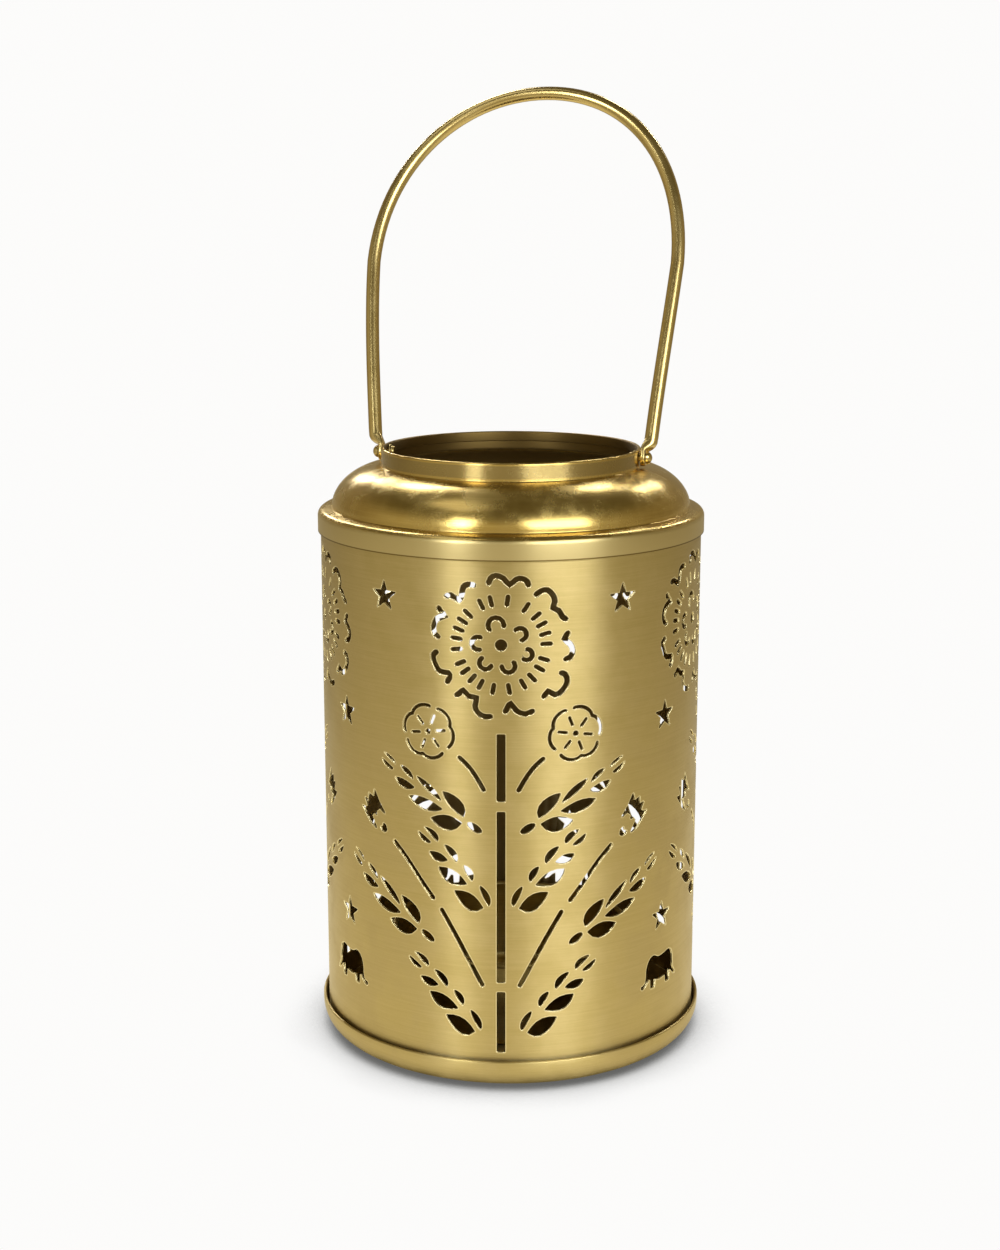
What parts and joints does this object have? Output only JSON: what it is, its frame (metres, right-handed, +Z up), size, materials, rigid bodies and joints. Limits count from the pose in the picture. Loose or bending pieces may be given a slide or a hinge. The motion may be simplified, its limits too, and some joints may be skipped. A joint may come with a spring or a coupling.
{
  "type": "pierced candle lantern",
  "caption": "Cylindrical lantern of pierced sheet brass with a base pan, a spun cap with an open collar, a candle cup inside and a swinging wire bail.",
  "frame": {"origin": "middle of the underside, on the surface that the lantern stands on", "axes": "+Z up, +X along the bail's pivot axis, -Y the front; at rest the bail leans back towards +Y"},
  "size_m": [0.127, 0.127, 0.3093],
  "materials": {
    "satin_brass": "satin",
    "aged_brass": "satin",
    "bright_brass": "polished"
  },
  "bodies": {
    "lantern": {"pierced_body": "satin_brass", "base_pan": "satin_brass", "spun_cap": "satin_brass", "candle_cup": "aged_brass", "cup_rivet": "aged_brass", "bail_rivet_left": "bright_brass", "bail_rivet_right": "bright_brass", "bail_washer_left": "aged_brass", "bail_washer_right": "aged_brass"},
    "bail": {"bail_handle": "bright_brass"}
  },
  "joints": [
    {"name": "bail_pivot", "type": "hinge", "parent": "lantern", "child": "bail", "pos_m": [0, 0, 0.19175], "axis": [1, 0, 0], "range_deg": [-71.5, 118.5]}
  ]
}
